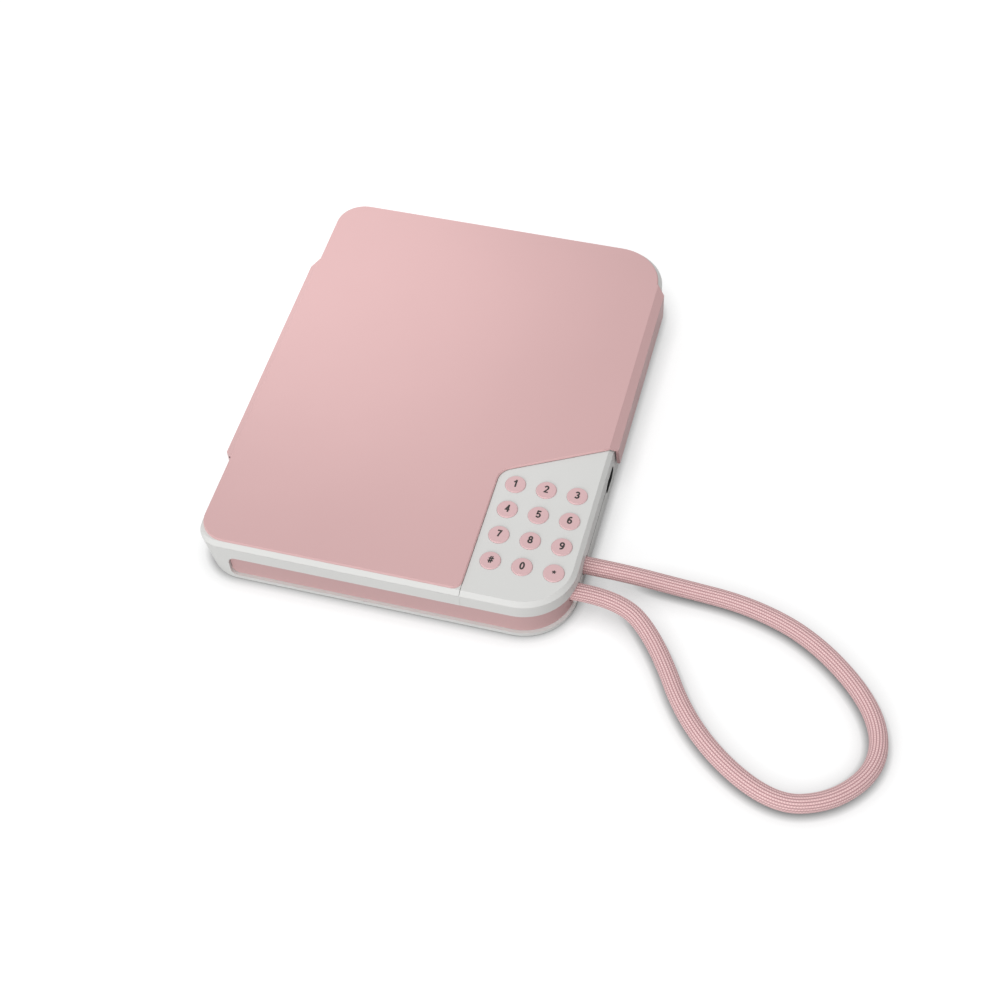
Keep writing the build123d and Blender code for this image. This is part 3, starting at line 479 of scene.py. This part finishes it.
steel = brushed_metal("plated_steel", linear(196, 197, 198), 0.32, (1, 1, 12))
foil = brushed_metal("cell_foil", linear(190, 191, 196), 0.4, (6, 1, 1))
nickel = brushed_metal("bright_nickel", linear(215, 214, 210), 0.2, (1, 1, 1))
socket_steel = brushed_metal("socket_steel", linear(228, 229, 230), 0.25, (8, 1, 1))
foot_rubber = dull_rubber("foot_rubber", linear(56, 56, 58))
clear_silicone = dull_rubber("milky_silicone", linear(214, 213, 208))
black_speaker = dull_rubber("speaker_black", linear(34, 34, 36))
dress(steel, "case_screws", "board_screws", "anchor_screw", "hinge_pin", "latch_bolt",
      "latch_keeper")
dress(foil, "battery_cell")
dress(nickel, "lid_magnet")
dress(socket_steel, "usb_socket")
dress(foot_rubber, "rubber_feet")
dress(clear_silicone, "keypad_membrane", "lid_bumpers")
dress(black_speaker, "speaker")
dress(stacked_pages(), "notebook_pages")
dress(pressed_card(), "notebook_cover")
dress(circuit_board(), "keypad_board", "main_board")
dress(wound_coil(), "lock_solenoid")
print("materials", len(bpy.data.materials))

# %% [markdown]
# ## The charging port's lining
# The slot in the side wall is lined with black plastic, a dark sheet that stands in for the shade
# inside the port: painted shade, so the port reads as a dark mouth with the bright rim of the metal
# socket in it. The lining is a cup without a middle: a circle is stretched to a slot, extruded
# inwards and drawn in round the socket, then given a wall.

# %% Line the port
PORT_WIDTH = 14.0 * MM
PORT_HEIGHT = 7.5 * MM
SOCKET_SIZE = (9.5 * MM, 3.8 * MM)
LINING_SIDES = 48
LINING_GAP = 0.06 * MM         # between the lining and the wall's slot
LINING_WALL = 0.22 * MM
MOUTH_INSET = 0.05 * MM        # from the wall's outer face
SOCKET_GAP = 0.1 * MM          # in front of the socket and the board


def line_port():
    """Black cup round the socket's mouth, just inside the wall's slot: painted shade for the port's
    mouth.
    """
    socket_low, socket_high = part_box("usb_socket")
    middle = (socket_low + socket_high) / 2
    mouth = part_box("keypad_housing")[1].x - MOUTH_INSET
    inner_face = max(socket_high.x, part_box("main_board")[1].x) + SOCKET_GAP
    bpy.ops.object.select_all(action="DESELECT")
    bpy.ops.mesh.primitive_circle_add(vertices=LINING_SIDES, radius=PORT_HEIGHT / 2 - LINING_GAP,
                                      rotation=(0, pi / 2, 0), location=(mouth, middle.y, middle.z))
    lining = bpy.context.object
    lining.name = "port_shade_lining"
    bpy.ops.object.transform_apply(location=True, rotation=True, scale=True)
    stretch = (PORT_WIDTH - PORT_HEIGHT) / 2
    for vertex in lining.data.vertices:
        vertex.co.y += stretch if vertex.co.y > middle.y else -stretch
    bpy.ops.object.mode_set(mode="EDIT")
    bpy.ops.mesh.select_all(action="SELECT")
    inwards = {"value": (inner_face - mouth, 0, 0)}
    bpy.ops.mesh.extrude_edges_move(TRANSFORM_OT_translate=inwards)
    bpy.ops.mesh.extrude_edges_move(TRANSFORM_OT_translate={"value": (0, 0, 0)})
    shrink = (1, SOCKET_SIZE[0] / PORT_WIDTH, SOCKET_SIZE[1] / PORT_HEIGHT)
    bpy.ops.transform.resize(value=shrink, center_override=(inner_face, middle.y, middle.z))
    bpy.ops.mesh.select_all(action="SELECT")
    bpy.ops.mesh.normals_make_consistent(inside=True)
    bpy.ops.object.mode_set(mode="OBJECT")
    wall = lining.modifiers.new("wall", "SOLIDIFY")
    wall.thickness = LINING_WALL
    wall.offset = 1
    bpy.ops.object.modifier_apply(modifier="wall")
    lining.data.materials.append(black_speaker)
    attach(lining, "case")
    return lining


port_shade_lining = line_port()
print("port lining", [round(x / MM, 2) for x in port_shade_lining.dimensions], "mm")

# %% [markdown]
# ## Digits on the keys
# The digits are printed in dark grey, four millimetres tall with strokes of three quarters of a
# millimetre. A text object would need a font, and the built-in one is too light, so each figure
# is drawn as strokes: straight runs and arcs on a grid one unit tall. A stroke becomes a thin
# closed strip with mitred corners, a film of ink on top of its key, and it rides with the key.

# %% Print the digits
INK_HEIGHT = 0.03 * MM
INK_STEP = 0.15                # each stroke's film is this much higher than the one below it
FIGURE_HEIGHT = 4.0 * MM
FIGURE_MIDDLE = Vector((0.3, 0.5))
FIGURE_RISE = 0.35 * MM        # figures sit a little above the middle of their keys
STROKE = 0.19                  # width of a stroke, as a share of the figure's height
THIN_STROKES = {"hash": 0.145, "star": 0.13}
CHARACTERS = {"hash": "#", "star": "*"}
MITRE_LIMIT = 0.62
ROUND_STEPS = 24
STAR_ARM = 0.16


def arc(x, y, across, along, start, stop, steps=14):
    """Points of an elliptic arc; angles in degrees."""
    turns = [radians(start + (stop - start) * k / steps) for k in range(steps + 1)]
    return [(x + across * cos(turn), y + along * sin(turn)) for turn in turns]


def figure_strokes(character):
    """Strokes of one character on a grid 0.6 wide and 1 tall."""
    low, high = STROKE / 2, 1 - STROKE / 2
    if character == "9":
        return [[(0.6 - x, 1 - y) for x, y in stroke] for stroke in figure_strokes("6")]
    if character == "*":
        arms = [radians(90 + 72 * k) for k in range(5)]
        x, y = FIGURE_MIDDLE
        return [[(x, y), (x + STAR_ARM * cos(arm), y + STAR_ARM * sin(arm))] for arm in arms]
    return {
        "0": [arc(0.30, 0.5, 0.195, 0.405, 0, 360, 28)],
        "1": [[(0.17, 0.72), (0.34, 0.86)], [(0.34, high), (0.34, low)]],
        "2": [arc(0.30, 0.675, 0.19, 0.23, 148, -38) + [(0.13, low), (0.45, low)]],
        "3": [arc(0.28, 0.700, 0.180, 0.205, 135, -75), arc(0.28, 0.295, 0.205, 0.20, 75, -135)],
        "4": [[(0.40, low), (0.40, high)], [(0.38, 0.84), (0.12, 0.33), (0.47, 0.33)]],
        "5": [[(0.44, high), (0.18, high), (0.14, 0.53)]
              + arc(0.29, 0.34, 0.205, 0.245, 125, -132)],
        "6": [arc(0.305, 0.325, 0.195, 0.23, 0, 360, ROUND_STEPS),
              arc(0.36, 0.45, 0.25, 0.455, 180, 82)],
        "7": [[(0.17, high), (0.49, high), (0.33, 0.50), (0.25, 0.19)]],
        "8": [arc(0.30, 0.705, 0.165, 0.20, 0, 360, ROUND_STEPS),
              arc(0.30, 0.30, 0.20, 0.205, 0, 360, ROUND_STEPS)],
        "#": [[(0.18, 0.12), (0.28, 0.88)], [(0.38, 0.12), (0.48, 0.88)],
              [(0.08, 0.35), (0.54, 0.35)], [(0.12, 0.65), (0.58, 0.65)]],
    }[character]


def printing_ink():
    """Dark grey ink, rough, with thin spots where the film is uneven."""
    material, tree, shader, coordinates = start_material("printing_ink", Roughness=0.6)
    film = noise(tree, coordinates["Object"], 1800, 3)
    vary_colour(tree, shader, film, linear(34, 33, 32), linear(54, 52, 50))
    return material


def stroke_sides(places, width, closed):
    """Left and right edge of a stroke: corners are mitred, ends run on by half its width."""
    points = [Vector(place) for place in places]
    count = len(points)
    edges = []
    for k, point in enumerate(points):
        before = points[k - 1] if closed or k else None
        after = points[(k + 1) % count] if closed or k < count - 1 else None
        arriving = (point - before).normalized() if before else (after - point).normalized()
        leaving = (after - point).normalized() if after else arriving
        along = (arriving + leaving).normalized()
        across = Vector((-along.y, along.x))
        reach = width / 2 / max(along.dot(leaving), MITRE_LIMIT)
        if before is None:
            point = point - along * width / 2
        elif after is None:
            point = point + along * width / 2
        edges.append((point + across * reach, point - across * reach))
    return edges


def print_figure(character, key_name, stroke_width, ink):
    """One printed character: a thin closed strip for each stroke, on its key's top."""
    low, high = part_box("key_" + key_name)
    seat = Vector(((low.x + high.x) / 2, (low.y + high.y) / 2 + FIGURE_RISE, high.z))
    mesh = bmesh.new()
    for layer, stroke in enumerate(figure_strokes(character)):
        closed = (Vector(stroke[0]) - Vector(stroke[-1])).length < 0.001
        edges = stroke_sides(stroke[:-1] if closed else stroke, stroke_width, closed)
        top = INK_HEIGHT * (1 + INK_STEP * layer)
        rows = []
        for sides in edges:
            corners = []
            for level in (top, -INK_HEIGHT):
                for side in sides:
                    place = (side - FIGURE_MIDDLE) * FIGURE_HEIGHT
                    corners.append(mesh.verts.new(seat + Vector((place.x, place.y, level))))
            rows.append((corners[0], corners[1], corners[3], corners[2]))
        pairs = list(zip(rows, rows[1:])) + ([(rows[-1], rows[0])] if closed else [])
        for first, second in pairs:
            for j in range(4):
                mesh.faces.new((first[j], first[j - 1], second[j - 1], second[j]))
        if not closed:
            mesh.faces.new(rows[0])
            mesh.faces.new(list(reversed(rows[-1])))
    bmesh.ops.recalc_face_normals(mesh, faces=mesh.faces)
    piece = mesh_object("figure_" + key_name, mesh)
    piece.data.materials.append(ink)
    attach(piece, "key_" + key_name)


ink = printing_ink()
for key_name in KEY_NAMES:
    print_figure(CHARACTERS.get(key_name, key_name), key_name,
                 THIN_STROKES.get(key_name, STROKE), ink)
print("figures", len(KEY_NAMES))

# %% [markdown]
# ## The table
# The table is a pale floor. To the camera, a mirror or glass it is mostly a plain white sweep
# that keeps a share of its real shadow. Two reaches of ambient occlusion add a tight dark line at
# each piece's foot and a faint shade beyond it. To every other ray the table is matt and grey, so
# that it doesn't light the walls from below.

# %% Floor
FLOOR_SIZE = 12.0
FLOOR_LIFT = 0.72              # light that the camera sees in the sweep whatever falls on it
FLOOR_SEEN = 0.40              # grey that is lit, to the camera
FLOOR_BOUNCE = 0.22            # grey that is lit, to every other ray
CONTACT_REACH = 4.0 * MM       # the dark line at a piece's foot
CONTACT_POWER = 1.35
CONTACT_SHARE = 0.65
FAINT_REACH = 12.0 * MM        # the faint shade beyond it
FAINT_POWER = 0.5
OCCLUSION_SAMPLES = 8


def camera_rays(tree):
    """1 for rays from the camera, a mirror or glass, 0 for light that falls on other pieces."""
    path = add(tree, "LightPath").outputs
    seen = compute(tree, "ADD", path["Is Camera Ray"], path["Is Glossy Ray"], clamp=True)
    return compute(tree, "ADD", seen, path["Is Transmission Ray"], clamp=True)


def openness(tree, reach, power):
    """Share of the sky that nothing within reach hides, made darker or lighter by a power."""
    near = add(tree, "AmbientOcclusion", {"samples": OCCLUSION_SAMPLES}, Distance=reach)
    return compute(tree, "POWER", near.outputs["AO"], power)


def grey(level):
    """Neutral colour."""
    return (level, level, level, 1)


bpy.ops.mesh.primitive_plane_add(size=FLOOR_SIZE, location=(0, 0, 0))
floor = bpy.context.object
floor.name = "table_floor"
floor_material = bpy.data.materials.new("table_floor")
floor_material.use_nodes = True
tree = floor_material.node_tree
tree.nodes.clear()
seen = camera_rays(tree)
line = compute(tree, "MULTIPLY_ADD", openness(tree, CONTACT_REACH, CONTACT_POWER), CONTACT_SHARE,
               1 - CONTACT_SHARE)
contact = compute(tree, "MULTIPLY", line, openness(tree, FAINT_REACH, FAINT_POWER))
paint = blend(tree, seen, grey(FLOOR_BOUNCE), grey(FLOOR_SEEN))
matt = add(tree, "BsdfDiffuse", Color=blend(tree, seen, paint, contact, "MULTIPLY"))
lift = compute(tree, "MULTIPLY", compute(tree, "MULTIPLY", seen, FLOOR_LIFT), contact)
glow = add(tree, "Emission", Color=grey(1), Strength=lift)
both = add(tree, "AddShader", _0=matt.outputs[0], _1=glow.outputs[0])
add(tree, "OutputMaterial", Surface=both.outputs[0])
floor.data.materials.append(floor_material)
print("floor", FLOOR_SIZE, "m across")

# %% [markdown]
# ## The light
# The light is an even sky, one low soft box in front and a soft pool of light that a spot throws
# on the back left of the cover. A black flag takes the low sky on the right away, so that the
# right wall and the cover's right wing are darker than the front.

# %% Sky, soft box and pool
SKY = 0.815
FLAG_SIDE = (0.1, 0.5)         # the flag fades in to the right and ends above
FLAG_TOP = (0.1, 0.4)
BOX_PLACE = (-0.2, -1.4, 0.45)
BOX_SIZE = 0.8
BOX_WATTS = 8.8
POOL_PLACE = (-0.60, 0.55, 1.10)
POOL_AIM = (-0.0901, 0.0705, 0.025)
POOL_RADIUS = 0.153
POOL_WATTS = 22.5
POOL_LAMP_RADIUS = 0.05

world = bpy.data.worlds.new("studio")
bpy.context.scene.world = world
world.use_nodes = True
tree = world.node_tree
tree.nodes.clear()
axes = add(tree, "SeparateXYZ", Vector=add(tree, "TexCoord").outputs["Generated"]).outputs
flag = compute(tree, "MULTIPLY", span(tree, axes["X"], *FLAG_SIDE, 0.0, 1.0),
               span(tree, axes["Z"], *FLAG_TOP, 1.0, 0.0))
flagged = span(tree, flag, 0.0, 1.0, SKY, 0.0)
level_sky = add(tree, "Mix", {"data_type": "FLOAT"}, _0=camera_rays(tree), _2=flagged, _3=1.0)
sky = add(tree, "Background", Color=grey(1), Strength=level_sky.outputs[0])
add(tree, "OutputWorld", Surface=sky.outputs[0])


def place_lamp(name, kind, place, aim, watts):
    """Lamp that faces a point."""
    data = bpy.data.lights.new(name, kind)
    data.energy = watts
    lamp = bpy.data.objects.new(name, data)
    bpy.context.scene.collection.objects.link(lamp)
    lamp.location = place
    lamp.rotation_euler = (Vector(aim) - Vector(place)).to_track_quat("-Z", "Y").to_euler()
    return data


front_box = place_lamp("front_box", "AREA", BOX_PLACE, (0, 0, 0), BOX_WATTS)
front_box.shape = "SQUARE"
front_box.size = BOX_SIZE
pool = place_lamp("cover_pool", "SPOT", POOL_PLACE, POOL_AIM, POOL_WATTS)
pool.spot_size = 2 * atan2(POOL_RADIUS, (Vector(POOL_AIM) - Vector(POOL_PLACE)).length)
pool.spot_blend = 1.0
pool.shadow_soft_size = POOL_LAMP_RADIUS

bpy.context.scene.view_settings.view_transform = "Standard"
